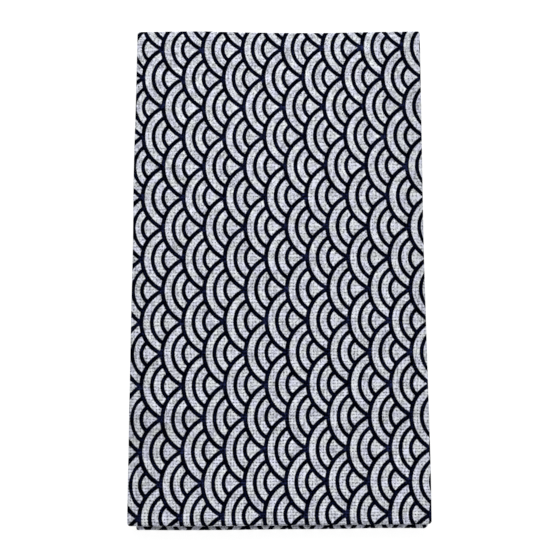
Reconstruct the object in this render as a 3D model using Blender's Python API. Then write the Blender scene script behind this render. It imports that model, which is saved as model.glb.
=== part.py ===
"""Tenugui towel: a dyed cotton cloth folded into a neat flat rectangle.

The cloth is folded in three across its width, which makes a strip of three plies
with a folded edge on each side. The strip then runs back and forth through five
layers, one on the other. It is one piece of cloth, so it is one solid: each layer of
the solid stands for the three plies of the strip.

Metres, +Z up. +Y points to the back of the stack and +X to its right. The origin is
at the centre of the underside.
"""

import math
from collections import namedtuple

import bmesh
import bpy

NAME = "tenugui_towel"
NODE = "towel"

# The cloth as cut, and how often it is folded
CLOTH_WIDTH = 0.333
CLOTH_LENGTH = 1.000
PLIES_ACROSS = 3
LAYERS_ALONG = 5

# The folded panel. Its outer ply is a little over a third of the width, so the two
# plies turned in behind it stop short of the opposite fold.
OUTER_PLY_EXTRA = 0.0052
PANEL_WIDTH = CLOTH_WIDTH / PLIES_ACROSS + OUTER_PLY_EXTRA
PANEL_LENGTH = CLOTH_LENGTH / LAYERS_ALONG
FRONT = -PANEL_LENGTH / 2
BACK = PANEL_LENGTH / 2

# How far the panel's side edges lie outside half its width, from the front to the back
SideEdge = namedtuple("SideEdge", "y left right")
SIDE_EDGES = (
    SideEdge(-0.100, 0.00030, 0.00010),
    SideEdge(-0.078, 0.00022, 0.00025),
    SideEdge(-0.045, 0.00013, 0.00003),
    SideEdge(-0.015, 0.00005, -0.00018),
    SideEdge(0.010, -0.00015, -0.00030),
    SideEdge(0.040, 0.00000, -0.00010),
    SideEdge(0.070, -0.00042, 0.00010),
    SideEdge(0.100, -0.00066, 0.00025),
)

# How far the ends of the layers lie behind straight lines, from the left to the right:
# the back of the stack, the front of the top panel and the front of the lower layers
EndEdge = namedtuple("EndEdge", "x back top_front low_front")
END_EDGES = (
    EndEdge(-0.056, 0.00060, -0.00035, -0.00005),
    EndEdge(-0.042, 0.00085, -0.00035, -0.00025),
    EndEdge(-0.030, 0.00090, -0.00035, -0.00028),
    EndEdge(-0.020, 0.00050, -0.00025, -0.00025),
    EndEdge(-0.008, 0.00015, -0.00005, -0.00012),
    EndEdge(0.008, -0.00005, 0.00012, -0.00008),
    EndEdge(0.020, -0.00005, 0.00015, -0.00005),
    EndEdge(0.034, 0.00025, 0.00015, 0.00022),
    EndEdge(0.046, 0.00045, 0.00015, 0.00022),
    EndEdge(0.057, 0.00045, 0.00018, 0.00010),
)

# One layer of three pressed plies, and the air above it
LAYER_THICKNESS = 0.00115
LAYER_GAP = 0.00035
LAYER_PITCH = LAYER_THICKNESS + LAYER_GAP
STACK_HEIGHT = LAYERS_ALONG * LAYER_PITCH - LAYER_GAP

# The layers in the order of the strip, with the place of each from the surface up
LAYER_LEVELS = {
    "tucked under the top": 3,
    "top": 4,
    "third": 2,
    "second": 1,
    "bottom": 0,
}

# Where the strip ends or turns, in the order of the strip. reach is the outermost
# point along Y, and the insets are measured from the top panel's side edges.
End = namedtuple("End", "name reach left_inset right_inset")
ENDS = (
    End("cut end hidden inside the front turn", FRONT + 0.0045, 0.0011, 0.0008),
    End("back turn of the top layer", BACK, 0.0, 0.0),
    End("front turn of the top layer", FRONT, 0.0, 0.0),
    End("back turn of the lower layers", BACK - 0.0013, 0.0012, 0.0005),
    End("front turn of the lower layers", FRONT - 0.0014, 0.0031, 0.0012),
    End("cut end under the back", BACK - 0.0034, 0.0017, 0.0011),
)

# Soft unevenness: each wave lifts the upper layers and fades to nothing at the
# underside. across and along are its wavelengths.
Wave = namedtuple("Wave", "size across along phase")
LIFT_WAVES = (
    Wave(0.00016, 0.150, 0.230, 0.6),
    Wave(0.00009, 0.071, 0.118, 2.2),
)

# How finely the solid is cut into faces
STEPS_ALONG_LAYER = 17
STEPS_IN_TURN = 8
STEPS_ACROSS = 10
STEPS_IN_EDGE = 4

# White cotton with dark blue print, seen as one mean colour
PRINT_COLOUR = (0.178, 0.187, 0.232, 1.0)
PRINT_ROUGHNESS = 0.92

Station = namedtuple("Station", "y z normal_y normal_z left_inset right_inset")


def remove_old_objects():
    """Clear the scene of what it starts with."""
    for old in list(bpy.data.objects):
        bpy.data.objects.remove(old, do_unlink=True)


def smooth(share):
    """Ease from 0 to 1 without a kink at either end."""
    return share * share * (3 - 2 * share)


def between(start, finish, share):
    return start + (finish - start) * share


def curve(start, finish, start_slope, finish_slope, share):
    """A smooth curve between two values, with the slopes that it has at both."""
    rest = 1 - share
    value = start * rest * rest * (1 + 2 * share) + finish * share * share * (3 - 2 * share)
    return value + start_slope * share * rest * rest - finish_slope * share * share * rest


def read_edge(rows, place):
    """The columns of an edge table at one place, on a smooth curve through its rows."""
    last = len(rows) - 1
    first = 0
    while first < last - 1 and place > rows[first + 1][0]:
        first += 1
    start, finish = rows[first], rows[first + 1]
    before, after = rows[max(first - 1, 0)], rows[min(first + 2, last)]
    gap = finish[0] - start[0]
    share = min(max((place - start[0]) / gap, 0.0), 1.0)
    values = []
    for column in range(1, len(start)):
        start_slope = gap * (finish[column] - before[column]) / (finish[0] - before[0])
        finish_slope = gap * (after[column] - start[column]) / (after[0] - start[0])
        values.append(curve(start[column], finish[column], start_slope, finish_slope, share))
    return values


def turn_centre(end, radius):
    """Y of the middle of a turn whose outer face just comes to the end's reach."""
    outwards = math.copysign(1.0, end.reach)
    return end.reach - outwards * (radius + LAYER_THICKNESS / 2)


def layer_stations(start, finish, start_y, finish_y, height):
    """Stations along one flat layer, from one end of it to the other."""
    heading = math.copysign(1.0, finish_y - start_y)
    stations = []
    for step in range(STEPS_ALONG_LAYER + 1):
        share = step / STEPS_ALONG_LAYER
        eased = smooth(share)
        stations.append(Station(
            y=between(start_y, finish_y, share),
            z=height,
            normal_y=0.0,
            normal_z=heading,
            left_inset=between(start.left_inset, finish.left_inset, eased),
            right_inset=between(start.right_inset, finish.right_inset, eased),
        ))
    return stations


def turn_stations(end, height, next_height):
    """Stations round one turn, without those that it shares with its two layers."""
    radius = abs(next_height - height) / 2
    centre_y = turn_centre(end, radius)
    centre_z = (height + next_height) / 2
    outwards = math.copysign(1.0, end.reach)
    side = math.copysign(1.0, height - next_height)
    stations = []
    for step in range(1, STEPS_IN_TURN):
        angle = math.pi * step / STEPS_IN_TURN
        out_y = outwards * math.sin(angle)
        out_z = side * math.cos(angle)
        facing = outwards * side
        stations.append(Station(
            y=centre_y + radius * out_y,
            z=centre_z + radius * out_z,
            normal_y=facing * out_y,
            normal_z=facing * out_z,
            left_inset=end.left_inset,
            right_inset=end.right_inset,
        ))
    return stations


def strip_stations():
    """Every station of the folded strip, from its hidden end to its end below."""
    heights = [LAYER_THICKNESS / 2 + level * LAYER_PITCH for level in LAYER_LEVELS.values()]
    last = LAYERS_ALONG - 1
    stations = []
    for place, height in enumerate(heights):
        start, finish = ENDS[place], ENDS[place + 1]
        start_y, finish_y = start.reach, finish.reach
        if place > 0:
            start_y = turn_centre(start, abs(height - heights[place - 1]) / 2)
        if place < last:
            finish_y = turn_centre(finish, abs(heights[place + 1] - height) / 2)
        stations += layer_stations(start, finish, start_y, finish_y, height)
        if place < last:
            stations += turn_stations(finish, height, heights[place + 1])
    return stations


def panel_sides(y):
    """X of the top panel's left and right edge."""
    left, right = read_edge(SIDE_EDGES, y)
    return -PANEL_WIDTH / 2 - left, PANEL_WIDTH / 2 + right


def section(station):
    """Points round the strip's cross-section: flat faces, round folded edges."""
    left, right = panel_sides(station.y)
    left += station.left_inset
    right -= station.right_inset
    radius = LAYER_THICKNESS / 2
    profile = []
    for step in range(STEPS_ACROSS + 1):
        profile.append((between(left + radius, right - radius, step / STEPS_ACROSS), radius))
    for step in range(1, STEPS_IN_EDGE):
        angle = math.pi * step / STEPS_IN_EDGE
        profile.append((right - radius + radius * math.sin(angle), radius * math.cos(angle)))
    for step in range(STEPS_ACROSS + 1):
        profile.append((between(right - radius, left + radius, step / STEPS_ACROSS), -radius))
    for step in range(1, STEPS_IN_EDGE):
        angle = math.pi * step / STEPS_IN_EDGE
        profile.append((left + radius - radius * math.sin(angle), -radius * math.cos(angle)))
    points = []
    for x, out in profile:
        points.append((x, station.y + out * station.normal_y, station.z + out * station.normal_z))
    return points


def wave_sum(waves, x, y):
    total = 0.0
    for wave in waves:
        turn = 2 * math.pi * (x / wave.across + y / wave.along) + wave.phase
        total += wave.size * math.sin(turn)
    return total


def settle(point):
    """Move a point as the soft stack lies, with its uneven ends and upper layers."""
    x, y, z = point
    share = z / STACK_HEIGHT
    back, top_front, low_front = read_edge(END_EDGES, x)
    front = between(low_front, top_front, share)
    from_front = min(max((y - FRONT) / PANEL_LENGTH, 0.0), 1.0)
    return (
        x,
        y + between(front, back * share, smooth(from_front)),
        z + share * wave_sum(LIFT_WAVES, x, y),
    )


def build_strip_mesh():
    """Join the sections into one closed solid, with a flat cut at each end."""
    sheet = bmesh.new()
    rings = []
    for station in strip_stations():
        rings.append([sheet.verts.new(settle(point)) for point in section(station)])
    count = len(rings[0])
    for ring, following in zip(rings, rings[1:]):
        for place in range(count):
            after = (place + 1) % count
            sheet.faces.new((ring[place], ring[after], following[after], following[place]))
    sheet.faces.new(rings[0])
    sheet.faces.new(rings[-1])
    bmesh.ops.recalc_face_normals(sheet, faces=sheet.faces)
    centre_on_origin(sheet)
    mesh = bpy.data.meshes.new(NODE)
    sheet.to_mesh(mesh)
    sheet.free()
    return mesh


def centre_on_origin(sheet):
    """Put the middle of the outline over the origin; the underside stays at zero."""
    across = [vert.co.x for vert in sheet.verts]
    along = [vert.co.y for vert in sheet.verts]
    shift = (-(min(across) + max(across)) / 2, -(min(along) + max(along)) / 2, 0.0)
    bmesh.ops.translate(sheet, verts=sheet.verts, vec=shift)


def printed_cotton():
    """Plain dyed cotton: matt, with the mean colour of its print."""
    material = bpy.data.materials.new("printed_cotton")
    material.use_nodes = True
    shader = material.node_tree.nodes["Principled BSDF"]
    shader.inputs["Base Color"].default_value = PRINT_COLOUR
    shader.inputs["Roughness"].default_value = PRINT_ROUGHNESS
    shader.inputs["Metallic"].default_value = 0.0
    return material


def make_towel():
    collection = bpy.data.collections.new(NAME)
    bpy.context.scene.collection.children.link(collection)
    mesh = build_strip_mesh()
    mesh.materials.append(printed_cotton())
    mesh.shade_smooth()
    mesh.set_sharp_from_angle(angle=math.radians(50))
    towel = bpy.data.objects.new(NODE, mesh)
    collection.objects.link(towel)


remove_old_objects()
make_towel()
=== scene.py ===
"""Looks of the folded tenugui towel: one thin cotton sheet with all its plies, its
wave-scale print, its weave, and the light and camera of the picture."""

import math
from collections import namedtuple

import bpy
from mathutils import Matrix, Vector


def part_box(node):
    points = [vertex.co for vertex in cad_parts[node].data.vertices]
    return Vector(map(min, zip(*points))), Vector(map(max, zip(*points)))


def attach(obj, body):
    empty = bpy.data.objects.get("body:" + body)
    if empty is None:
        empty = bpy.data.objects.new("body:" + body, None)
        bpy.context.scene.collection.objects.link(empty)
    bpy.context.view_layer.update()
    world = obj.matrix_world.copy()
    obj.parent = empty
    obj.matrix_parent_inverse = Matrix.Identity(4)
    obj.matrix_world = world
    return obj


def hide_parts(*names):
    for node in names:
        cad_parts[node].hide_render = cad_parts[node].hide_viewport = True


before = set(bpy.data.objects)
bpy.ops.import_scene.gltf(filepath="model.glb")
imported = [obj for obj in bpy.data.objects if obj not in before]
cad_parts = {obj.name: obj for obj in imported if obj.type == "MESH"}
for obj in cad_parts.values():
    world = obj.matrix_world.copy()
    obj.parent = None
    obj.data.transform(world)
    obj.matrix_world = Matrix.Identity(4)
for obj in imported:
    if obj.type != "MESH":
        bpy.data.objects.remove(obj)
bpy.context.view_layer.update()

MM = 0.001

# The solid's box, before anything is added
BOX_LOW, BOX_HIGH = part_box("towel")

# The cloth as cut
CLOTH_WIDTH = 333.0 * MM
CLOTH_THICKNESS = 0.28 * MM
HALF_THICKNESS = CLOTH_THICKNESS / 2

# The folded panel, and how far its side edges lie outside half its width, from the
# front to the back. y is measured from the middle of the panel.
PANEL_WIDTH = 116.2 * MM
PANEL_LENGTH = 200.0 * MM
SideEdge = namedtuple("SideEdge", "y left right")
SIDE_EDGES = (
    SideEdge(-100 * MM, 0.30 * MM, 0.10 * MM),
    SideEdge(-78 * MM, 0.22 * MM, 0.25 * MM),
    SideEdge(-45 * MM, 0.13 * MM, 0.03 * MM),
    SideEdge(-15 * MM, 0.05 * MM, -0.18 * MM),
    SideEdge(10 * MM, -0.15 * MM, -0.30 * MM),
    SideEdge(40 * MM, 0.00 * MM, -0.10 * MM),
    SideEdge(70 * MM, -0.42 * MM, 0.10 * MM),
    SideEdge(100 * MM, -0.66 * MM, 0.25 * MM),
)

# How far the ends of the layers lie behind straight lines, from the left to the right:
# the back of the stack, the front of the top panel and the front of the lower layers
EndEdge = namedtuple("EndEdge", "x back top_front low_front")
END_EDGES = (
    EndEdge(-56 * MM, 0.60 * MM, -0.42 * MM, -0.05 * MM),
    EndEdge(-42 * MM, 0.85 * MM, -0.48 * MM, -0.25 * MM),
    EndEdge(-30 * MM, 0.90 * MM, -0.50 * MM, -0.28 * MM),
    EndEdge(-20 * MM, 0.50 * MM, -0.45 * MM, -0.25 * MM),
    EndEdge(-8 * MM, 0.15 * MM, -0.35 * MM, -0.12 * MM),
    EndEdge(8 * MM, -0.05 * MM, -0.22 * MM, -0.08 * MM),
    EndEdge(20 * MM, -0.05 * MM, -0.20 * MM, -0.05 * MM),
    EndEdge(34 * MM, 0.25 * MM, -0.20 * MM, 0.22 * MM),
    EndEdge(46 * MM, 0.45 * MM, -0.20 * MM, 0.22 * MM),
    EndEdge(57 * MM, 0.45 * MM, -0.17 * MM, 0.10 * MM),
)

# The panel's place in the box of the solid, which its widest edges just touch
LOW_FRONT_REACH = 1.4 * MM
PANEL_MIDDLE = BOX_LOW[0] + PANEL_WIDTH / 2 + max(edge.left for edge in SIDE_EDGES)
FRONT = BOX_LOW[1] + LOW_FRONT_REACH - min(edge.low_front for edge in END_EDGES)
BACK = FRONT + PANEL_LENGTH

# Heights of the five layers. Each has three plies, this far apart.
PLY_PITCH = 0.37 * MM
STACK_HEIGHT = 7.15 * MM
LOWEST_LAYER = PLY_PITCH + HALF_THICKNESS
HIGHEST_LAYER = STACK_HEIGHT - PLY_PITCH - HALF_THICKNESS
LAYER_PITCH = (HIGHEST_LAYER - LOWEST_LAYER) / 4

# Folded side edges: half an ellipse each, and how far the plies spread there
LEFT_FOLD_DEPTH = 0.75 * MM
RIGHT_FOLD_DEPTH = 0.90 * MM
LEFT_SPREAD = 0.20 * MM
RIGHT_SPREAD = 0.17 * MM
SPREAD_REACH = 5.0 * MM
SPREAD_LOST_IN_TURNS = 0.75
CORNER_REACH = 3.0 * MM

# Where the right-hand fold lies on the cloth, measured from the inner selvage, at a
# place where the panel is just as wide as PANEL_WIDTH
RIGHT_FOLD_PLACE = 221.2 * MM

# The layers in the order of the strip: height in the stack, which way the outer ply
# faces, and how much its edges spread
Layer = namedtuple("Layer", "name level faces spread")
LAYERS = (
    Layer("tucked under the top", 3, -1, 1.0),
    Layer("top", 4, 1, 1.0),
    Layer("third", 2, -1, 1.0),
    Layer("second", 1, 1, 1.0),
    Layer("bottom", 0, -1, 0.7),
)

# Where the strip ends or turns. reach is the outermost point along Y, the insets are
# measured from the top panel's edges. roundness is the turn's depth over its half
# height: a turn that is less deep than high has a flat face between its two curves.
# The corner values say how far each side edge is drawn in round the turn.
End = namedtuple("End", "name reach left_inset right_inset roundness left_corner right_corner")
ENDS = (
    End("cut end hidden inside the front turn", FRONT + 4.5 * MM,
        1.1 * MM, 0.8 * MM, 1.0, 0.0, 0.0),
    End("back turn of the top layer", BACK,
        0.0, 0.0, 1.0, 1.2 * MM, 0.2 * MM),
    End("front turn of the top layer", FRONT,
        0.0, 0.0, 0.42, 0.7 * MM, 0.9 * MM),
    End("back turn of the lower layers", BACK - 1.3 * MM,
        1.2 * MM, 0.5 * MM, 1.0, 0.8 * MM, 0.8 * MM),
    End("front turn of the lower layers", FRONT - LOW_FRONT_REACH,
        3.2 * MM, 1.2 * MM, 0.8, 0.1 * MM, 1.2 * MM),
    End("cut end under the back", BACK - 3.4 * MM,
        1.7 * MM, 1.1 * MM, 1.0, 0.0, 0.0),
)

# Soft unevenness of the stack, the same as in the solid
Wave = namedtuple("Wave", "size across along phase")
LIFT_WAVES = (
    Wave(0.16 * MM, 150 * MM, 230 * MM, 0.6),
    Wave(0.09 * MM, 71 * MM, 118 * MM, 2.2),
)

# Creases kept by the upper layers: soft ridges whose crest runs from start to finish. The
# cloth falls away from the crest over the two reaches, towards the back and the front.
Crease = namedtuple("Crease", "name start finish height back_reach front_reach")
CREASES = (
    Crease("fold mark across the panel", (-66 * MM, -54.6 * MM), (66 * MM, -53.2 * MM),
           0.50 * MM, 4.4 * MM, 4.6 * MM),
    Crease("sag at the front left", (-64 * MM, -56.0 * MM), (-30 * MM, -60.0 * MM),
           0.55 * MM, 9.0 * MM, 14.0 * MM),
    Crease("slanting ridge right of the middle", (16 * MM, -59.0 * MM), (37 * MM, -80.0 * MM),
           0.28 * MM, 5.0 * MM, 5.0 * MM),
    Crease("soft ridge behind the middle", (-46 * MM, 22.0 * MM), (-4 * MM, 19.0 * MM),
           0.24 * MM, 8.0 * MM, 7.0 * MM),
    Crease("soft ridge right of the middle", (6 * MM, 13.0 * MM), (40 * MM, 9.0 * MM),
           0.20 * MM, 7.0 * MM, 7.0 * MM),
    Crease("faint ridge, front right", (2 * MM, -28.5 * MM), (58 * MM, -29.5 * MM),
           0.16 * MM, 4.5 * MM, 4.5 * MM),
    Crease("faint ridge before the fold mark", (-34 * MM, -41.0 * MM), (44 * MM, -41.5 * MM),
           0.18 * MM, 4.5 * MM, 4.5 * MM),
)
CREASE_END_FADE = 9.0 * MM
CREASED_LAYERS = ("tucked under the top", "top")
FINE_ROWS_FROM = -66.0 * MM
FINE_ROWS_TO = -24.0 * MM
FINE_ROW_STEP = 1.5 * MM

# Places on the top panel painted a little darker or lighter: painted shade and painted light where
# the light falls unevenly on the panel
Patch = namedtuple("Patch", "x y across along shade")
PAINTED_SHADING_PATCHES = (
    Patch(-52 * MM, -63 * MM, 13 * MM, 9 * MM, -0.10),
    Patch(-30 * MM, -64 * MM, 14 * MM, 7 * MM, -0.06),
    Patch(47 * MM, -59 * MM, 14 * MM, 5 * MM, -0.07),
    Patch(33 * MM, -72 * MM, 8 * MM, 9 * MM, -0.04),
    Patch(52 * MM, 72 * MM, 12 * MM, 42 * MM, -0.05),
    Patch(54 * MM, 0 * MM, 10 * MM, 60 * MM, -0.03),
    Patch(-54 * MM, -40 * MM, 10 * MM, 30 * MM, -0.06),
    Patch(-54 * MM, -90 * MM, 10 * MM, 20 * MM, -0.05),
    Patch(2 * MM, -84 * MM, 40 * MM, 16 * MM, 0.05),
    Patch(-6 * MM, 62 * MM, 40 * MM, 36 * MM, 0.03),
)

# Painted shade: the lower layers are painted darker where they lie in the shade of the top
# panel's front fold, with a painted shadow line just under its rim. Along the side edges the
# cloth is painted darker too: a little wear and painted shade over a wide reach, and painted
# shade where it bends down at the left and right edges
STRIP_SHADE = 0.86
FOLD_SHADE = 0.30
FOLD_SHADE_REACH = 0.55 * MM
EDGE_WEAR_AND_SHADE = 0.03
EDGE_WEAR_AND_SHADE_REACH = 12.0 * MM
LEFT_EDGE_SHADE = 0.06
LEFT_EDGE_SHADE_REACH = 5.0 * MM
RIGHT_EDGE_SHADE = 0.09
RIGHT_EDGE_SHADE_REACH = 1.8 * MM

# How finely the sheet is cut into faces
STEPS_ALONG_LAYER = 50
STEPS_IN_TURN = 16
STEPS_ACROSS_OUTER = 36
STEPS_ACROSS_INNER = 24
STEPS_IN_LEFT_FOLD = 12
STEPS_IN_RIGHT_FOLD = 14
CROWDING = 0.8

# The print: wave scales that point to the left of the folded panel. Lengths are in
# scale units, and one unit is half the distance between scales in a row.
SCALE_UNIT = 12.626 * MM
ROW_STEP = 0.6424
SCALE_RADIUS = 1.1611
OUTLINE_INNER = 1.0398
SECOND_LINE = (0.7185, 0.8320)
THIRD_LINE = (0.4007, 0.5127)
DYE_EDGE = 0.016
DYE_SPREAD = 0.010
DYE_CREEP = 0.028

# The dye is bluer deep inside its lines, and the cloth beside them is a little cleaner
DEEP_DYE_EDGE = 0.040
DEEP_DYE_SPREAD = -0.060
CLEAN_EDGE = 0.045
CLEAN_SPREAD = 0.050
CLEAN_GAIN = 0.14
CLEAN_BASE = 0.96

# Where the lines run together, this far to the left of each scale's centre, the dye is
# thickest: fully within the inner radius, and fading to the outer one
JUNCTION_OUT = 1.136
JUNCTION_INNER = 0.04
JUNCTION_OUTER = 0.23

# The print's place on the top panel: this point of the panel shows this point of the
# print, which is a little askew
PRINT_PIN = (PANEL_MIDDLE + 0.55 * MM, FRONT + 95.75 * MM)
PRINT_AT_PIN = (0.669, 0.709)
PRINT_SKEW_ACROSS = 0.0019
PRINT_SKEW_ALONG = 0.0050

# Past the run of the front fold, the print is shorter by this share
FRONT_FOLD_RUN = 4.0 * MM
TOP_FRONT_DOWN = PRINT_PIN[1] - FRONT + FRONT_FOLD_RUN
PRINT_SHORTER_BELOW = 0.0167

# How the soft cloth stretches the print: each row is a power of x over STRETCH_ACROSS, a
# power of y over STRETCH_ALONG, and the shift that goes with them across and along
STRETCH_ACROSS = 50.0 * MM
STRETCH_ALONG = 100.0 * MM
Stretch = namedtuple("Stretch", "x_power y_power across along")
PRINT_STRETCH = (
    Stretch(0, 0, -0.68 * MM, 0.00 * MM),
    Stretch(1, 0, -0.29 * MM, -0.12 * MM),
    Stretch(0, 1, 0.26 * MM, -0.14 * MM),
    Stretch(2, 0, 0.14 * MM, 0.26 * MM),
    Stretch(1, 1, -0.46 * MM, 0.17 * MM),
    Stretch(0, 2, 1.31 * MM, 0.36 * MM),
    Stretch(3, 0, -0.03 * MM, 0.32 * MM),
    Stretch(2, 1, -0.04 * MM, -0.35 * MM),
    Stretch(1, 2, 0.96 * MM, -0.43 * MM),
    Stretch(0, 3, -0.35 * MM, 0.53 * MM),
)

# Places where the soft cloth is pulled a little to one side, and the print with it
Tug = namedtuple("Tug", "x y across_reach along_reach across along")
TUGS = (
    Tug(54 * MM, 96 * MM, 30 * MM, 9 * MM, -0.40 * MM, -0.54 * MM),
    Tug(45 * MM, -96 * MM, 30 * MM, 9 * MM, -0.56 * MM, 0.04 * MM),
    Tug(54 * MM, -56 * MM, 10 * MM, 20 * MM, -0.05 * MM, -0.50 * MM),
    Tug(27 * MM, -80 * MM, 10 * MM, 20 * MM, 0.29 * MM, 0.19 * MM),
    Tug(-45 * MM, -56 * MM, 30 * MM, 9 * MM, -0.27 * MM, 0.16 * MM),
    Tug(-45 * MM, 96 * MM, 30 * MM, 9 * MM, 0.38 * MM, -0.28 * MM),
    Tug(-27 * MM, 80 * MM, 10 * MM, 20 * MM, -0.10 * MM, 0.36 * MM),
    Tug(-45 * MM, -24 * MM, 30 * MM, 9 * MM, 0.25 * MM, 0.09 * MM),
    Tug(-54 * MM, 56 * MM, 10 * MM, 20 * MM, -0.18 * MM, -0.33 * MM),
    Tug(45 * MM, 64 * MM, 10 * MM, 20 * MM, 0.16 * MM, 0.20 * MM),
)

# How far the print is drawn in at the side edges of the panel, where the cloth bends down
LEFT_PULL = 0.58 * MM
LEFT_PULL_FROM = 0.9 * MM
LEFT_PULL_REACH = 2.5 * MM
RIGHT_PULL = 0.52 * MM
RIGHT_PULL_REACH = 1.4 * MM

# The weave: distance between neighbouring threads, and between the denser lines that
# the reed and the beat leave in it, which lie closer together towards the front
WARP_PITCH = 0.54 * MM
WEFT_PITCH = 0.58 * MM
REED_MARK_FRONT = 1.235 * MM
REED_MARK_BACK = 1.60 * MM
BEAT_MARK_FRONT = 1.17 * MM
BEAT_MARK_BACK = 1.55 * MM

# Those lines: how narrow and how dark they are, how much the reed's lines and the
# crossings count beside the beat's lines, the mean of it all, and how far they wander
LINE_NARROWNESS = 5.5
LINE_DEPTH = 0.220
REED_SHARE = 0.52
CROSSING_SHARE = 1.8
LINE_SHARE = 0.475
LINE_WANDER = 1.6
LINE_WANDER_SCALE = 36.0

# Tone of the threads: each has streaks, each float between two crossings has a shade of
# its own, warp and weft differ a little, and there are soft spots
THREAD_DEPTH = 0.85
THREAD_APART = 17.31
STREAK_SCALE = 190.0
STREAK_LOW = 0.28
STREAK_HIGH = 0.72
FLOAT_SHARE = 0.80
CHECK_DEPTH = 0.10
ON_TOP_SOFTNESS = 0.08
MOTTLE_DEPTH = 0.80
MOTTLE_SCALE = 230.0
TONE_POWER = 0.75

# Gaps where four threads meet: most are small and a few are large, the lines of the reed
# and the beat open them, and they are this dark
GAP_POWER = 3.0
GAP_RANGE = 1.05
GAP_SMALLEST = 0.08
GAP_OPENED_BY_LINES = 0.30
GAP_SHARE = 0.95
GAP_SHADE = 0.20

# Heights at which the noises are read, so that none follows another
WEFT_PLANE = 5.0
REED_PLANE = 0.2
BEAT_PLANE = 0.6
MOTTLE_PLANE = 0.9
GAP_PLANE = 3.0
CREEP_PLANE = 0.07
WARMTH_PLANE = 2.0

# How open the weave looks at the front and the back of the top panel
OPEN_AT_FRONT = 1.80
OPEN_AT_BACK = 0.60

# Colours of the cotton from its darkest to its lightest threads, and of its faint tint
DARK_THREAD = (0.190, 0.197, 0.224, 1.0)
LIGHT_THREAD = (0.788, 0.812, 0.900, 1.0)
COOL_TINT = (0.972, 0.967, 1.046, 1.0)
WARM_TINT = (1.026, 1.032, 0.954, 1.0)
WARMTH_SCALE = 260.0
WARMTH_DETAIL = 2.5
WARMTH_LOW = 0.32
WARMTH_HIGH = 0.68

# Colours of the dye: nearly black, and bluer on light threads and in soft patches
BLACKEST_DYE = (0.0000, 0.0001, 0.0007, 1.0)
THIN_NAVY = (0.0016, 0.0027, 0.0120, 1.0)
DEEP_NAVY = (0.0185, 0.0240, 0.0860, 1.0)
BLUE_PATCH_SCALE = 420.0
BLUE_PATCH_LOW = 0.35
BLUE_PATCH_HIGH = 0.75
BLUE_PATCH_SHARE = 0.16
BLUE_POWER = 3.2
DYE_CREEP_SCALE = 1900.0

# Surface of the cotton
THREAD_RELIEF = 0.12 * MM
RELIEF_STRENGTH = 0.5
DARK_THREAD_ROUGHNESS = 0.98
LIGHT_THREAD_ROUGHNESS = 0.82

# The table top, which glows a little so that it stays plain white, and the light
PLAIN_WHITE = (1.0, 1.0, 1.0, 1.0)
FLOOR_SIDE = 40.0
FLOOR_COLOUR = (0.26, 0.26, 0.26, 1.0)
FLOOR_ROUGHNESS = 0.9
FLOOR_GLOW = 0.86
ROOM_LIGHT = 0.60
SOFT_PANEL_WIDTH = 0.9
SOFT_PANEL_HEIGHT = 0.5
SOFT_PANEL_POWER = 10.5
SOFT_PANEL_PLACE = (0.0, 0.80, 0.80)

# Camera, from the lines of the print in the picture
IMAGE_SIDE = 560
FOCAL_PIXELS = 1578.0
SENSOR_WIDTH = 36.0
CAMERA_DISTANCE = 49.45 * SCALE_UNIT
CAMERA_TILT = math.radians(12.62)
CAMERA_ROLL = math.radians(0.245)
CAMERA_AIM = Vector((*PRINT_PIN, STACK_HEIGHT))
CAMERA_CLIP_START = 0.01

Station = namedtuple("Station", "y z out_y out_z along turned left right tip corners layer")


def smooth(share):
    """Ease from 0 to 1 without a kink at either end."""
    share = min(max(share, 0.0), 1.0)
    return share * share * (3 - 2 * share)


def between(start, finish, share):
    return start + (finish - start) * share


def crowded(share):
    """Spread steps so that they crowd towards both ends."""
    return share - CROWDING * math.sin(2 * math.pi * share) / (2 * math.pi)


def curve(start, finish, start_slope, finish_slope, share):
    """A smooth curve between two values, with the slopes that it has at both."""
    rest = 1 - share
    value = start * rest * rest * (1 + 2 * share) + finish * share * share * (3 - 2 * share)
    return value + start_slope * share * rest * rest - finish_slope * share * share * rest


def read_edge(rows, place):
    """The columns of an edge table at one place, on a smooth curve through its rows."""
    last = len(rows) - 1
    first = 0
    while first < last - 1 and place > rows[first + 1][0]:
        first += 1
    start, finish = rows[first], rows[first + 1]
    before, after = rows[max(first - 1, 0)], rows[min(first + 2, last)]
    gap = finish[0] - start[0]
    share = min(max((place - start[0]) / gap, 0.0), 1.0)
    values = []
    for column in range(1, len(start)):
        start_slope = gap * (finish[column] - before[column]) / (finish[0] - before[0])
        finish_slope = gap * (after[column] - start[column]) / (after[0] - start[0])
        values.append(curve(start[column], finish[column], start_slope, finish_slope, share))
    return values


def panel_sides(y):
    """X of the top panel's left and right edge."""
    left, right = read_edge(SIDE_EDGES, y - FRONT - PANEL_LENGTH / 2)
    return PANEL_MIDDLE - PANEL_WIDTH / 2 - left, PANEL_MIDDLE + PANEL_WIDTH / 2 + right


def make_station(y, z, out_y, out_z, along, turned, insets, tip, corners, layer):
    left, right = panel_sides(y)
    left, right = left + insets[0], right - insets[1]
    return Station(y, z, out_y, out_z, along, turned, left, right, tip, corners, layer)


def layer_height(layer):
    return LOWEST_LAYER + layer.level * LAYER_PITCH


def turn_middle(end, half_height):
    """Y of the middle of a turn whose outermost ply just comes to the end's reach."""
    outwards = math.copysign(1.0, end.reach)
    return end.reach - outwards * (half_height * end.roundness + PLY_PITCH + HALF_THICKNESS)


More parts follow.
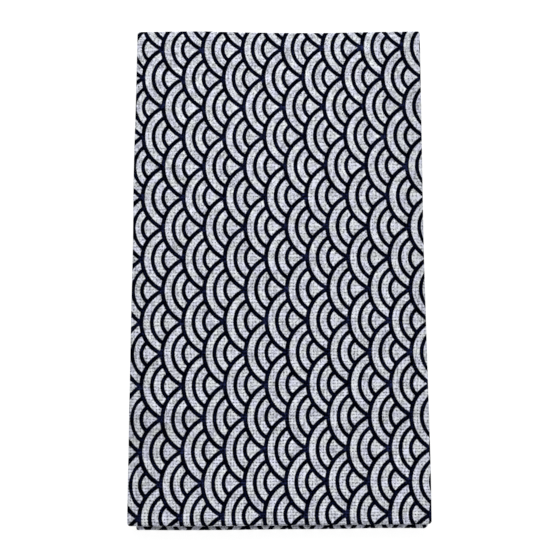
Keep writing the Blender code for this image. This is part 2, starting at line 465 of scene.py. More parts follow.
def turn_path(half_height, roundness):
    """The middle of the strip round a turn: two quarter circles and what lies between.

    Each point is (how far out, how high, the way out, the way up, distance come)."""
    radius = half_height * roundness
    straight = 2 * (half_height - radius)
    quarter = math.pi * radius / 2
    path = []
    for step in range(1, STEPS_IN_TURN):
        come = (2 * quarter + straight) * step / STEPS_IN_TURN
        if come < quarter:
            angle = come / radius
            path.append((radius * math.sin(angle), half_height - radius + radius * math.cos(angle),
                         math.sin(angle), math.cos(angle), come))
        elif come <= quarter + straight:
            path.append((radius, half_height - radius - (come - quarter), 1.0, 0.0, come))
        else:
            angle = math.pi / 2 + (come - quarter - straight) / radius
            path.append((radius * math.sin(angle), radius - half_height + radius * math.cos(angle),
                         math.sin(angle), math.cos(angle), come))
    return path, 2 * quarter + straight


def layer_shares(layer, start_y, finish_y):
    """Where a layer's rows of faces lie: close at its ends and round the creases."""
    shares = [crowded(step / STEPS_ALONG_LAYER) for step in range(STEPS_ALONG_LAYER + 1)]
    if layer.name in CREASED_LAYERS:
        low, high = sorted(((FINE_ROWS_FROM - start_y) / (finish_y - start_y),
                            (FINE_ROWS_TO - start_y) / (finish_y - start_y)))
        rows = round((FINE_ROWS_TO - FINE_ROWS_FROM) / FINE_ROW_STEP)
        shares = [share for share in shares if share < low or share > high]
        shares += [between(low, high, (row + 0.5) / rows) for row in range(rows)]
    return sorted(shares)


def strip_stations():
    """Follow the folded strip from its hidden end to its end under the back."""
    stations = []
    along = 0.0
    turned = -math.pi
    for place, layer in enumerate(LAYERS):
        start, finish = ENDS[place], ENDS[place + 1]
        height = layer_height(layer)
        start_y, finish_y = start.reach, finish.reach
        if place > 0:
            start_y = turn_middle(start, abs(height - layer_height(LAYERS[place - 1])) / 2)
        if place < len(LAYERS) - 1:
            finish_y = turn_middle(finish, abs(layer_height(LAYERS[place + 1]) - height) / 2)
        for share in layer_shares(layer, start_y, finish_y):
            y = between(start_y, finish_y, share)
            insets = (
                between(start.left_inset, finish.left_inset, smooth(share)),
                between(start.right_inset, finish.right_inset, smooth(share)),
            )
            travelled = along + abs(y - start_y)
            stations.append(make_station(
                y, height, 0.0, layer.faces, travelled, turned, insets, 0.0, (0.0, 0.0), layer))
        along += abs(finish_y - start_y)
        if place < len(LAYERS) - 1:
            following = LAYERS[place + 1]
            along, turned = add_turn(stations, finish, layer, following, finish_y, along, turned)
    return stations


def add_turn(stations, end, layer, following, middle_y, along, turned):
    """Add the stations round one turn, and say how far the strip has come and turned."""
    height, next_height = layer_height(layer), layer_height(following)
    middle_z = (height + next_height) / 2
    outwards = math.copysign(1.0, end.reach)
    side = math.copysign(1.0, height - next_height)
    outer_ply = layer.faces * side
    path, length = turn_path(abs(next_height - height) / 2, end.roundness)
    for out, up, way_out, way_up, come in path:
        stations.append(make_station(
            middle_y + outwards * out,
            middle_z + side * up,
            outer_ply * outwards * way_out,
            outer_ply * side * way_up,
            along + come,
            turned + outer_ply * math.atan2(way_out, way_up),
            (end.left_inset, end.right_inset),
            way_out,
            (end.left_corner, end.right_corner),
            layer if come < length / 2 else following,
        ))
    return along + length, turned + outer_ply * math.pi


def half_ellipse_length(depth, half_height, steps):
    """Length of half an ellipse, cut into the same steps as the fold."""
    length = 0.0
    for step in range(steps):
        first = math.pi * step / steps
        second = math.pi * (step + 1) / steps
        run = depth * (math.sin(second) - math.sin(first))
        rise = half_height * (math.cos(second) - math.cos(first))
        length += math.hypot(run, rise)
    return length


def ply_offsets(station, x):
    """How far the outer, middle and inner ply lie from the middle of the strip at x."""
    near_left = 1 - smooth((x - station.left) / SPREAD_REACH)
    near_right = 1 - smooth((station.right - x) / SPREAD_REACH)
    amount = station.layer.spread * (1 - SPREAD_LOST_IN_TURNS * station.tip)
    left_spread = LEFT_SPREAD * near_left * amount
    right_spread = RIGHT_SPREAD * near_right * amount
    outer = PLY_PITCH + left_spread + right_spread
    middle = -left_spread
    inner = -outer
    if station.layer.level == 0 and station.tip == 0.0:
        pressed = left_spread + right_spread
        outer -= pressed
        middle -= pressed
        inner -= pressed
    return outer, middle, inner


def across_points(station):
    """Points across the cloth at one station: (x, offset, place on the cloth's width).

    They run from the inner selvage along the middle ply, round the left fold, over
    the outer ply, round the right fold and back along the innermost ply."""
    left_start = station.left + HALF_THICKNESS + LEFT_FOLD_DEPTH
    right_start = station.right - HALF_THICKNESS - RIGHT_FOLD_DEPTH
    outer, middle, inner = ply_offsets(station, left_start)
    left_half = (outer - middle) / 2
    left_middle = (outer + middle) / 2
    left_length = half_ellipse_length(LEFT_FOLD_DEPTH, left_half, STEPS_IN_LEFT_FOLD)
    outer, middle, inner = ply_offsets(station, right_start)
    right_half = (outer - inner) / 2
    right_middle = (outer + inner) / 2
    right_length = half_ellipse_length(RIGHT_FOLD_DEPTH, right_half, STEPS_IN_RIGHT_FOLD)
    fold_place = RIGHT_FOLD_PLACE + station.right - PANEL_MIDDLE - PANEL_WIDTH / 2
    outer_start = fold_place - (right_start - left_start)
    middle_finish = outer_start - left_length
    inner_start = fold_place + right_length
    points = []
    for step in range(STEPS_ACROSS_INNER):
        place = middle_finish * crowded(step / STEPS_ACROSS_INNER)
        x = left_start + middle_finish - place
        points.append((x, ply_offsets(station, x)[1], place))
    for step in range(STEPS_IN_LEFT_FOLD):
        angle = math.pi * step / STEPS_IN_LEFT_FOLD
        x = left_start - LEFT_FOLD_DEPTH * math.sin(angle)
        offset = left_middle - left_half * math.cos(angle)
        place = middle_finish + left_length * step / STEPS_IN_LEFT_FOLD
        points.append((x, offset, place))
    for step in range(STEPS_ACROSS_OUTER):
        x = between(left_start, right_start, crowded(step / STEPS_ACROSS_OUTER))
        points.append((x, ply_offsets(station, x)[0], outer_start + x - left_start))
    for step in range(STEPS_IN_RIGHT_FOLD):
        angle = math.pi * step / STEPS_IN_RIGHT_FOLD
        x = right_start + RIGHT_FOLD_DEPTH * math.sin(angle)
        offset = right_middle + right_half * math.cos(angle)
        place = fold_place + right_length * step / STEPS_IN_RIGHT_FOLD
        points.append((x, offset, place))
    for step in range(STEPS_ACROSS_INNER + 1):
        place = between(inner_start, CLOTH_WIDTH, crowded(step / STEPS_ACROSS_INNER))
        x = right_start - (place - inner_start)
        points.append((x, ply_offsets(station, x)[2], place))
    return points


def round_corner(station, x):
    """Draw the side edges in round a turn, so that its corners are round."""
    tuck = 1 - math.sqrt(1 - min(station.tip, 1.0) ** 2)
    from_left = max(1 - (x - station.left) / CORNER_REACH, 0.0)
    from_right = max(1 - (station.right - x) / CORNER_REACH, 0.0)
    left_corner, right_corner = station.corners
    return x + tuck * (left_corner * from_left ** 2 - right_corner * from_right ** 2)


def wave_sum(waves, x, y):
    total = 0.0
    for wave in waves:
        turn = 2 * math.pi * (x / wave.across + y / wave.along) + wave.phase
        total += wave.size * math.sin(turn)
    return total


def crease_height(x, y):
    """How far the creases lift the top layer at one place."""
    total = 0.0
    for crease in CREASES:
        start, finish = Vector(crease.start), Vector(crease.finish)
        run = finish - start
        from_start = (Vector((x, y)) - start).dot(run.normalized())
        to_end = min(from_start, run.length - from_start)
        if to_end <= 0.0:
            continue
        crest_y = start.y + run.y * from_start / run.length
        away = y - crest_y
        reach = crease.back_reach if away > 0 else crease.front_reach
        if abs(away) < reach:
            profile = (1 + math.cos(math.pi * away / reach)) / 2
            total += crease.height * profile * smooth(to_end / CREASE_END_FADE)
    return total


def settle(x, y, z):
    """Move a point as the soft stack lies, with its uneven ends and upper layers."""
    share = z / STACK_HEIGHT
    back, top_front, low_front = read_edge(END_EDGES, x)
    front = between(low_front, top_front, share)
    moved = between(front, back * share, smooth((y - FRONT) / PANEL_LENGTH))
    lift = share * wave_sum(LIFT_WAVES, x, y) + share ** 3 * crease_height(x, y)
    return x, y + moved, max(z + lift, HALF_THICKNESS)


def painted_shading_and_edge_wear(station, x, y):
    """How light the cloth is painted at one place, 1 where nothing darkens or lightens it: wear
    and painted shade along the side edges, painted shade and painted light in patches on the top
    panel, and painted shade with a painted shadow line under the top panel's front fold.
    """
    from_edge = min(x - station.left, station.right - x)
    # Wear and painted shade towards the side edges, and painted shade where the cloth bends down
    # at the left and right edges
    shade = 1 - EDGE_WEAR_AND_SHADE * (1 - smooth(from_edge / EDGE_WEAR_AND_SHADE_REACH))
    shade -= LEFT_EDGE_SHADE * (1 - smooth((x - station.left) / LEFT_EDGE_SHADE_REACH))
    shade -= RIGHT_EDGE_SHADE * (1 - smooth((station.right - x) / RIGHT_EDGE_SHADE_REACH))
    if station.layer.name == "top":
        # Painted shade and painted light in patches on the top panel
        for patch in PAINTED_SHADING_PATCHES:
            away = math.hypot((x - patch.x) / patch.across, (y - patch.y) / patch.along)
            shade += patch.shade * math.exp(-away * away)
    elif station.tip > 0.0 and y < FRONT:
        # Painted shade on the lower layers under the top panel's front fold, and a painted shadow
        # line at its rim
        past_rim = FRONT + read_edge(END_EDGES, x)[1] - y
        shade *= between(FOLD_SHADE, STRIP_SHADE, smooth(past_rim / FOLD_SHADE_REACH))
    return shade


def weave_openness(station, y):
    """How strongly the lines between the threads show at one place."""
    if station.layer.name != "top":
        return 1.0
    return between(OPEN_AT_FRONT, OPEN_AT_BACK, smooth((y - FRONT) / PANEL_LENGTH))


def mark_turns(x, back):
    """How many reed marks and beat marks lie between the middle of the front and a place
    that is so far towards the back along the cloth."""
    share = min(max(back / PANEL_LENGTH, 0.0), 1.0)
    reed = between(1 / REED_MARK_FRONT, 1 / REED_MARK_BACK, share)
    widened = PANEL_LENGTH * share * share / 2 + max(back - PANEL_LENGTH, 0.0)
    beats = back / BEAT_MARK_FRONT + (1 / BEAT_MARK_BACK - 1 / BEAT_MARK_FRONT) * widened
    return (x - PANEL_MIDDLE) * reed, beats


def fold_wander(layer, x, y):
    """How far the uneven fold lines move the cloth along itself at one place."""
    back, top_front, low_front = read_edge(END_EDGES, x)
    if layer.name == LAYERS[0].name:
        return back
    if layer.name != "top":
        return top_front
    return between(top_front, back, smooth((y - FRONT) / PANEL_LENGTH))


def print_place(layer, x, y, place, along, pin):
    """The point of the print, in scale units, that the dye leaves at one place."""
    across = place - pin[0]
    down = along - pin[1] - fold_wander(layer, x, y)
    down -= PRINT_SHORTER_BELOW * max(down - TOP_FRONT_DOWN, 0.0)
    across, down = across - PRINT_SKEW_ACROSS * down, down + PRINT_SKEW_ALONG * across
    for part in PRINT_STRETCH:
        amount = (x / STRETCH_ACROSS) ** part.x_power * (y / STRETCH_ALONG) ** part.y_power
        across += amount * part.across
        down -= amount * part.along
    for tug in TUGS:
        away = math.hypot((x - tug.x) / tug.across_reach, (y - tug.y) / tug.along_reach)
        amount = math.exp(-away * away)
        across += amount * tug.across
        down -= amount * tug.along
    return across / SCALE_UNIT + PRINT_AT_PIN[0], down / SCALE_UNIT + PRINT_AT_PIN[1]


def edge_pull(station, x):
    """How far the print is drawn in across the cloth where it bends round a side edge."""
    from_left = (x - station.left - LEFT_PULL_FROM) / LEFT_PULL_REACH
    from_right = (station.right - x) / RIGHT_PULL_REACH
    return RIGHT_PULL * (1 - smooth(from_right)) - LEFT_PULL * (1 - smooth(from_left))


def build_sheet():
    """The folded cloth as a grid, with its flat coordinates in metres as its UV map."""
    vertices = []
    uv_maps = {"cloth": [], "print": []}
    attributes = {"shade": [], "openness": [], "reed turns": [], "beat turns": []}
    stations = strip_stations()
    pin = pin_on_cloth(stations)
    front_along = pin[1] + PRINT_PIN[1] - FRONT
    for station in stations:
        for x, offset, place in across_points(station):
            y = station.y + offset * station.out_y
            z = station.z + offset * station.out_z
            along = station.along + offset * station.turned
            vertices.append(settle(round_corner(station, x), y, z))
            across, down = print_place(station.layer, x, y, place, along, pin)
            uv_maps["cloth"].append((place, along))
            uv_maps["print"].append((across + edge_pull(station, x) / SCALE_UNIT, down))
            reeds, beats = mark_turns(x, front_along - along)
            attributes["shade"].append(painted_shading_and_edge_wear(station, x, y))
            attributes["openness"].append(weave_openness(station, y))
            attributes["reed turns"].append(reeds)
            attributes["beat turns"].append(beats)
    mesh = grid_mesh("towel_cloth", vertices, len(vertices) // len(stations))
    for name, places in uv_maps.items():
        uv_map = mesh.uv_layers.new(name=name)
        for loop in mesh.loops:
            uv_map.data[loop.index].uv = places[loop.vertex_index]
    for name, values in attributes.items():
        mesh.attributes.new(name, "FLOAT", "POINT").data.foreach_set("value", values)
    towel = bpy.data.objects.new("towel_cloth", mesh)
    bpy.context.scene.collection.objects.link(towel)
    body = towel.modifiers.new("cloth_thickness", "SOLIDIFY")
    body.thickness = CLOTH_THICKNESS
    body.offset = 0.0
    return towel


def grid_mesh(name, vertices, count):
    """A mesh from rows of vertices, with count vertices in each row."""
    faces = []
    for row in range(len(vertices) // count - 1):
        for column in range(count - 1):
            corner = row * count + column
            faces.append((corner, corner + count, corner + count + 1, corner + 1))
    mesh = bpy.data.meshes.new(name)
    mesh.from_pydata(vertices, [], faces)
    mesh.shade_smooth()
    return mesh


def join(tree, value, socket):
    """Feed a socket from another socket, or set it to a plain value."""
    if isinstance(value, bpy.types.NodeSocket):
        tree.links.new(value, socket)
    else:
        socket.default_value = value


def math_node(tree, operation, *values):
    node = tree.nodes.new("ShaderNodeMath")
    node.operation = operation
    for place, value in enumerate(values):
        join(tree, value, node.inputs[place])
    return node.outputs[0]


def from_middle(tree, value):
    """How far a value between 0 and 1 lies from the middle."""
    return math_node(tree, "SUBTRACT", value, 0.5)


def ramp_node(tree, value, low, high):
    """Rise smoothly from 0 to 1 as value goes from low to high."""
    node = tree.nodes.new("ShaderNodeMapRange")
    node.interpolation_type = "SMOOTHSTEP"
    join(tree, value, node.inputs["Value"])
    join(tree, low, node.inputs["From Min"])
    join(tree, high, node.inputs["From Max"])
    return node.outputs["Result"]


def mix_value(tree, factor, first, second):
    node = tree.nodes.new("ShaderNodeMix")
    node.data_type = "FLOAT"
    join(tree, factor, node.inputs["Factor"])
    join(tree, first, node.inputs["A"])
    join(tree, second, node.inputs["B"])
    return node.outputs["Result"]


def mix_colour(tree, factor, first, second, blend="MIX"):
    """The mix node's colour sockets are the seventh and eighth inputs, and the third output."""
    node = tree.nodes.new("ShaderNodeMix")
    node.data_type = "RGBA"
    node.blend_type = blend
    join(tree, factor, node.inputs["Factor"])
    join(tree, first, node.inputs[6])
    join(tree, second, node.inputs[7])
    return node.outputs[2]


def noise_node(tree, vector, scale, detail=2.0):
    node = tree.nodes.new("ShaderNodeTexNoise")
    join(tree, vector, node.inputs["Vector"])
    node.inputs["Scale"].default_value = scale
    node.inputs["Detail"].default_value = detail
    return node.outputs["Fac"]


def white_noise_node(tree, vector):
    node = tree.nodes.new("ShaderNodeTexWhiteNoise")
    join(tree, vector, node.inputs["Vector"])
    return node.outputs["Value"]


def vector_node(tree, x, y, z=0.0):
    node = tree.nodes.new("ShaderNodeCombineXYZ")
    for place, value in enumerate((x, y, z)):
        join(tree, value, node.inputs[place])
    return node.outputs[0]


def attribute_value(tree, name):
    node = tree.nodes.new("ShaderNodeAttribute")
    node.attribute_name = name
    return node.outputs["Fac"]


def uv_parts(tree, name):
    uv = tree.nodes.new("ShaderNodeUVMap")
    uv.uv_map = name
    parts = tree.nodes.new("ShaderNodeSeparateXYZ")
    tree.links.new(uv.outputs["UV"], parts.inputs[0])
    return parts.outputs[0], parts.outputs[1]


def new_group(name, inputs, outputs):
    """An empty node group: number inputs with their first values, and number outputs."""
    group = bpy.data.node_groups.new(name, "ShaderNodeTree")
    sockets = group.interface
    for socket_name, value in inputs.items():
        socket = sockets.new_socket(socket_name, in_out="INPUT", socket_type="NodeSocketFloat")
        socket.default_value = value
    for socket_name in outputs:
        sockets.new_socket(socket_name, in_out="OUTPUT", socket_type="NodeSocketFloat")
    entry = group.nodes.new("NodeGroupInput")
    result = group.nodes.new("NodeGroupOutput")
    return group, entry.outputs, result.inputs


def place_group(tree, group, inputs):
    """Place a node group in a material, and say what it puts out."""
    node = tree.nodes.new("ShaderNodeGroup")
    node.node_tree = group
    for name, value in inputs.items():
        join(tree, value, node.inputs[name])
    return node.outputs


def line_mask(tree, radius, inner, outer, soft):
    """One ring of dye between two radii."""
    starts = ramp_node(tree, radius, math_node(tree, "SUBTRACT", inner, soft),
                       math_node(tree, "ADD", inner, soft))
    stops = ramp_node(tree, radius, math_node(tree, "SUBTRACT", outer, soft),
                      math_node(tree, "ADD", outer, soft))
    return math_node(tree, "MINIMUM", starts, math_node(tree, "SUBTRACT", 1.0, stops))


def scale_distance(tree, across, along, row):
    """Distance to the nearest scale centre in one row of scales."""
    centre = math_node(tree, "MULTIPLY", row, ROW_STEP)
    shift = math_node(tree, "FLOORED_MODULO", row, 2.0)
    sideways = math_node(tree, "SUBTRACT", along, shift)
    sideways = math_node(tree, "WRAP", sideways, 1.0, -1.0)
    forwards = math_node(tree, "SUBTRACT", across, centre)
    squares = math_node(tree, "ADD", math_node(tree, "MULTIPLY", forwards, forwards),
                        math_node(tree, "MULTIPLY", sideways, sideways))
    return math_node(tree, "SQRT", squares)


def make_print_group():
    """Wave scales: rows of round scales, each row in front of the one to its left."""
    group, given, result = new_group(
        "wave_scale_print",
        {"Across": 0.0, "Along": 0.0, "Edge": DYE_EDGE, "Spread": DYE_SPREAD},
        ("Dye",),
    )
    across, along, soft, spread = (given[name] for name in ("Across", "Along", "Edge", "Spread"))
    reach = math_node(group, "ADD", across, SCALE_RADIUS)
    reach = math_node(group, "ADD", reach, spread)
    front_row = math_node(group, "FLOOR", math_node(group, "DIVIDE", reach, ROW_STEP))
    back_row = math_node(group, "SUBTRACT", front_row, 1.0)
    dye = []
    distances = []
    for row in (front_row, back_row):
        distance = scale_distance(group, across, along, row)
        rings = 0.0
        for inner, outer in (SECOND_LINE, THIRD_LINE, (OUTLINE_INNER, SCALE_RADIUS * 2)):
            wide_inner = math_node(group, "SUBTRACT", inner, spread)
            wide_outer = math_node(group, "ADD", outer, spread)
            ring = line_mask(group, distance, wide_inner, wide_outer, soft)
            rings = math_node(group, "MAXIMUM", rings, ring)
        dye.append(rings)
        distances.append(distance)
    rim = math_node(group, "ADD", spread, SCALE_RADIUS)
    behind = ramp_node(group, distances[0], math_node(group, "SUBTRACT", rim, soft),
                       math_node(group, "ADD", rim, soft))
    total = mix_value(group, behind, dye[0], dye[1])
    group.links.new(total, result["Dye"])
    return group


def make_junction_group():
    """Where the lines of neighbouring scales run together and the dye lies thickest."""
    group, given, result = new_group(
        "scale_junctions",
        {"Across": 0.0, "Along": 0.0, "Inner": JUNCTION_INNER, "Outer": JUNCTION_OUTER},
        ("Depth",),
    )
    moved = math_node(group, "ADD", given["Across"], JUNCTION_OUT)
    row = math_node(group, "ROUND", math_node(group, "DIVIDE", moved, ROW_STEP))
    distance = scale_distance(group, moved, given["Along"], row)
    group.links.new(ramp_node(group, distance, given["Outer"], given["Inner"]), result["Depth"])
    return group


def crossing_heights(group, across, along):
    """How high the warp and the weft lie as they pass over and under each other."""
    rounds = []
    swings = []
    for place in (across, along):
        off_centre = from_middle(group, math_node(group, "FRACT", place))
        squared = math_node(group, "MULTIPLY", off_centre, off_centre)
        rounds.append(math_node(group, "MULTIPLY_ADD", squared, -4.0, 1.0))
        swings.append(math_node(group, "SINE", math_node(group, "MULTIPLY", place, math.pi)))
    swing = math_node(group, "MULTIPLY", *swings)
    warp_up = math_node(group, "MULTIPLY_ADD", swing, 0.5, 0.5)
    weft_up = math_node(group, "MULTIPLY_ADD", swing, -0.5, 0.5)
    return (math_node(group, "MULTIPLY", rounds[0], warp_up),
            math_node(group, "MULTIPLY", rounds[1], weft_up))


def thread_tone(group, given, across, along, on_top):
    """Tone of the thread on top: its streaks, its floats, and warp beside weft."""
    warp_number = math_node(group, "FLOOR", across)
    weft_number = math_node(group, "FLOOR", along)
    warp_place = vector_node(
        group, math_node(group, "MULTIPLY", warp_number, THREAD_APART),
        math_node(group, "MULTIPLY", given["Along"], STREAK_SCALE))
    weft_place = vector_node(
        group, math_node(group, "MULTIPLY", given["Across"], STREAK_SCALE),
        math_node(group, "MULTIPLY", weft_number, THREAD_APART), WEFT_PLANE)
    streak = mix_value(group, on_top, noise_node(group, weft_place, 1.0),
                       noise_node(group, warp_place, 1.0))
    streak = ramp_node(group, streak, STREAK_LOW, STREAK_HIGH)
    float_tone = white_noise_node(group, vector_node(group, warp_number, weft_number))
    tone = mix_value(group, FLOAT_SHARE, streak, float_tone)
    tone = math_node(group, "MULTIPLY_ADD", tone, THREAD_DEPTH, (1 - THREAD_DEPTH) / 2)
    return math_node(group, "MULTIPLY_ADD", from_middle(group, on_top), CHECK_DEPTH, tone)


def reed_and_beat_lines(group, given):
    """How much denser the weave is in the lines that the reed and the beat leave."""
    lines = []
    for turns_name, plane in (("Reed Turns", REED_PLANE), ("Beat Turns", BEAT_PLANE)):
        place = vector_node(group, given["Across"], given["Along"], plane)
        wander = noise_node(group, place, LINE_WANDER_SCALE, 1.0)
        turns = math_node(group, "MULTIPLY_ADD", wander, LINE_WANDER, given[turns_name])
        swell = math_node(group, "COSINE", math_node(group, "MULTIPLY", turns, 2 * math.pi))
        swell = math_node(group, "MULTIPLY_ADD", swell, 0.5, 0.5)
        lines.append(math_node(group, "POWER", swell, LINE_NARROWNESS))
    both_lines = math_node(group, "MULTIPLY_ADD", lines[0], REED_SHARE, lines[1])
    crossings = math_node(group, "MULTIPLY", *lines)
    marks = math_node(group, "MULTIPLY_ADD", crossings, CROSSING_SHARE, both_lines)
    marks = math_node(group, "SUBTRACT", marks, LINE_SHARE)
    return math_node(group, "MULTIPLY", marks, given["Openness"])


def gap_sizes(group, across, along, marks):
    """How large the gap is where four threads meet."""
    size = white_noise_node(group, vector_node(
        group, math_node(group, "ROUND", across), math_node(group, "ROUND", along), GAP_PLANE))
    size = math_node(group, "POWER", size, GAP_POWER)
    size = math_node(group, "MULTIPLY_ADD", size, GAP_RANGE, GAP_SMALLEST)
    opened = math_node(group, "MULTIPLY_ADD", marks, GAP_OPENED_BY_LINES, GAP_SHARE)
    return math_node(group, "MULTIPLY", size, opened)


def make_weave_group():
    """Plain weave: threads that pass over and under each other, each a little different."""
    group, given, result = new_group(
        "plain_weave",
        {"Across": 0.0, "Along": 0.0, "Warp Pitch": WARP_PITCH, "Weft Pitch": WEFT_PITCH,
         "Reed Turns": 0.0, "Beat Turns": 0.0, "Openness": 1.0},
        ("Height", "Tone", "Gap"),
    )
    across = math_node(group, "DIVIDE", given["Across"], given["Warp Pitch"])
    along = math_node(group, "DIVIDE", given["Along"], given["Weft Pitch"])
    warp, weft = crossing_heights(group, across, along)
    higher = math_node(group, "SUBTRACT", warp, weft)
    on_top = ramp_node(group, higher, -ON_TOP_SOFTNESS, ON_TOP_SOFTNESS)
    marks = reed_and_beat_lines(group, given)
    tone = thread_tone(group, given, across, along, on_top)
    tone = math_node(group, "MULTIPLY_ADD", marks, -LINE_DEPTH, tone)
    mottle_place = vector_node(group, given["Across"], given["Along"], MOTTLE_PLANE)
    mottle = from_middle(group, noise_node(group, mottle_place, MOTTLE_SCALE, 1.0))
    tone = math_node(group, "MULTIPLY_ADD", mottle, MOTTLE_DEPTH, tone)
    tone = math_node(group, "POWER", math_node(group, "MAXIMUM", tone, 0.0), TONE_POWER)
    height = math_node(group, "MAXIMUM", warp, weft)
    gap = ramp_node(group, height, gap_sizes(group, across, along, marks), 0.0)
    group.links.new(height, result["Height"])
    group.links.new(tone, result["Tone"])
    group.links.new(gap, result["Gap"])
    return group


def dye_masks(tree, across, along):
    """Where the cotton is dyed, how deep the dye is, and where dye is near."""
    crept = []
    print_across, print_along = uv_parts(tree, "print")
    for printed, place in ((print_across, vector_node(tree, across, along)),
                           (print_along, vector_node(tree, along, across, CREEP_PLANE))):
        creep = from_middle(tree, noise_node(tree, place, DYE_CREEP_SCALE, 1.0))
        crept.append(math_node(tree, "MULTIPLY_ADD", creep, DYE_CREEP, printed))
    where = {"Across": crept[0], "Along": crept[1]}
    print_group = make_print_group()
    masks = []
    for edge, spread in ((DYE_EDGE, DYE_SPREAD), (DEEP_DYE_EDGE, DEEP_DYE_SPREAD),
                         (CLEAN_EDGE, CLEAN_SPREAD)):
        placed = place_group(tree, print_group, {**where, "Edge": edge, "Spread": spread})
        masks.append(placed["Dye"])
    dye, deep_dye, near_dye = masks
    junctions = place_group(tree, make_junction_group(), where)
    return dye, math_node(tree, "MAXIMUM", deep_dye, junctions["Depth"]), near_dye


def cotton_white(tree, across, along, tone):
    """The undyed cotton, with a faint tint that is cool in some places and warm in others."""
    white = mix_colour(tree, tone, DARK_THREAD, LIGHT_THREAD)
    place = vector_node(tree, across, along, WARMTH_PLANE)
    warmth = noise_node(tree, place, WARMTH_SCALE, WARMTH_DETAIL)
    warmth = ramp_node(tree, warmth, WARMTH_LOW, WARMTH_HIGH)
    tint = mix_colour(tree, warmth, COOL_TINT, WARM_TINT)
    return mix_colour(tree, 1.0, white, tint, "MULTIPLY")


def dye_blue(tree, across, along, tone, deep_dye):
    """The dyed cotton, nearly black and bluer on light threads where the dye is deep."""
    patch = noise_node(tree, vector_node(tree, across, along), BLUE_PATCH_SCALE)
    patch = ramp_node(tree, patch, BLUE_PATCH_LOW, BLUE_PATCH_HIGH)
    blueness = mix_value(tree, BLUE_PATCH_SHARE, tone, patch)
    blueness = math_node(tree, "POWER", math_node(tree, "MAXIMUM", blueness, 0.0), BLUE_POWER)
    navy = mix_colour(tree, deep_dye, THIN_NAVY, DEEP_NAVY)
    return mix_colour(tree, blueness, BLACKEST_DYE, navy)


def make_printed_cotton():
    """White cotton with a dark blue print, dyed through, so both faces show it."""
    material = bpy.data.materials.new("printed_cotton")
    material.use_nodes = True
    tree = material.node_tree
    shader = tree.nodes["Principled BSDF"]
    across, along = uv_parts(tree, "cloth")
    weave = place_group(tree, make_weave_group(), {
        "Across": across,
        "Along": along,
        "Reed Turns": attribute_value(tree, "reed turns"),
        "Beat Turns": attribute_value(tree, "beat turns"),
        "Openness": attribute_value(tree, "openness"),
    })
    tone = weave["Tone"]
    dye, deep_dye, near_dye = dye_masks(tree, across, along)
    colour = mix_colour(tree, dye, cotton_white(tree, across, along, tone),
                        dye_blue(tree, across, along, tone, deep_dye))
    # The dark gaps between threads, times the wear and painted shading kept in the shade attribute
    shade = math_node(tree, "MULTIPLY", mix_value(tree, weave["Gap"], 1.0, GAP_SHADE),
                      attribute_value(tree, "shade"))
    cleaner = math_node(tree, "MULTIPLY_ADD", near_dye, CLEAN_GAIN, CLEAN_BASE)
    shaded = tree.nodes.new("ShaderNodeVectorMath")
    shaded.operation = "SCALE"
    tree.links.new(colour, shaded.inputs[0])
    tree.links.new(math_node(tree, "MULTIPLY", shade, cleaner), shaded.inputs["Scale"])
    tree.links.new(shaded.outputs[0], shader.inputs["Base Color"])
    rough = mix_value(tree, tone, DARK_THREAD_ROUGHNESS, LIGHT_THREAD_ROUGHNESS)
    tree.links.new(rough, shader.inputs["Roughness"])
    shader.inputs["Specular IOR Level"].default_value = 0.0
    shader.inputs["Sheen Weight"].default_value = 0.0

    bump = tree.nodes.new("ShaderNodeBump")
    bump.inputs["Strength"].default_value = RELIEF_STRENGTH
    bump.inputs["Distance"].default_value = THREAD_RELIEF
    tree.links.new(weave["Height"], bump.inputs["Height"])
    tree.links.new(bump.outputs["Normal"], shader.inputs["Normal"])
    return material


def pin_on_cloth(stations):
    """Flat coordinates of the point of the top panel that the print is pinned to."""
    first = next(station for station in stations
                 if station.layer.name == "top" and station.tip == 0.0)
    fold_x = PANEL_MIDDLE + PANEL_WIDTH / 2 - HALF_THICKNESS - RIGHT_FOLD_DEPTH
    across = RIGHT_FOLD_PLACE - (fold_x - PRINT_PIN[0])
    return across, first.along + (first.y - PRINT_PIN[1])


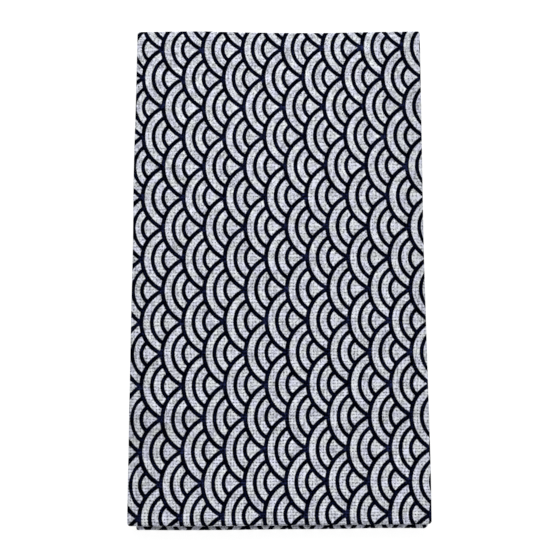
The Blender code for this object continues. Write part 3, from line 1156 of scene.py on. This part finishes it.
def make_floor():
    """A plain white table top that runs out of sight."""
    bpy.ops.mesh.primitive_plane_add(size=FLOOR_SIDE, location=(0, 0, 0))
    floor = bpy.context.active_object
    floor.name = "floor"
    material = bpy.data.materials.new("white_table")
    material.use_nodes = True
    shader = material.node_tree.nodes["Principled BSDF"]
    shader.inputs["Base Color"].default_value = FLOOR_COLOUR
    shader.inputs["Roughness"].default_value = FLOOR_ROUGHNESS
    shader.inputs["Specular IOR Level"].default_value = 0.0
    shader.inputs["Emission Color"].default_value = PLAIN_WHITE
    shader.inputs["Emission Strength"].default_value = FLOOR_GLOW
    floor.data.materials.append(material)


def make_light():
    """Soft light from a wide panel over the back of the table, and a pale room."""
    world = bpy.data.worlds.new("pale_room")
    bpy.context.scene.world = world
    world.use_nodes = True
    background = world.node_tree.nodes["Background"]
    background.inputs["Color"].default_value = PLAIN_WHITE
    background.inputs["Strength"].default_value = ROOM_LIGHT
    panel = bpy.data.lights.new("soft_panel", "AREA")
    panel.shape = "RECTANGLE"
    panel.size = SOFT_PANEL_WIDTH
    panel.size_y = SOFT_PANEL_HEIGHT
    panel.energy = SOFT_PANEL_POWER
    holder = bpy.data.objects.new("soft_panel", panel)
    holder.location = SOFT_PANEL_PLACE
    holder.rotation_euler = (-holder.location).to_track_quat("-Z", "Y").to_euler()
    bpy.context.scene.collection.objects.link(holder)


def make_camera():
    """Nearly straight above, tilted a little so that the back edge is farther away."""
    camera = bpy.data.cameras.new("camera")
    camera.sensor_width = SENSOR_WIDTH
    camera.lens = SENSOR_WIDTH * FOCAL_PIXELS / IMAGE_SIDE
    camera.clip_start = CAMERA_CLIP_START
    holder = bpy.data.objects.new("camera", camera)
    holder.rotation_euler = (CAMERA_TILT, 0.0, -CAMERA_ROLL)
    forwards = holder.rotation_euler.to_matrix() @ Vector((0, 0, -1))
    holder.location = CAMERA_AIM - forwards * CAMERA_DISTANCE
    bpy.context.scene.collection.objects.link(holder)
    bpy.context.scene.camera = holder


make_camera()
make_light()
make_floor()

towel = build_sheet()
towel.data.materials.append(make_printed_cotton())
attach(towel, "root")
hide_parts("towel")

bpy.context.scene.view_settings.view_transform = "Standard"
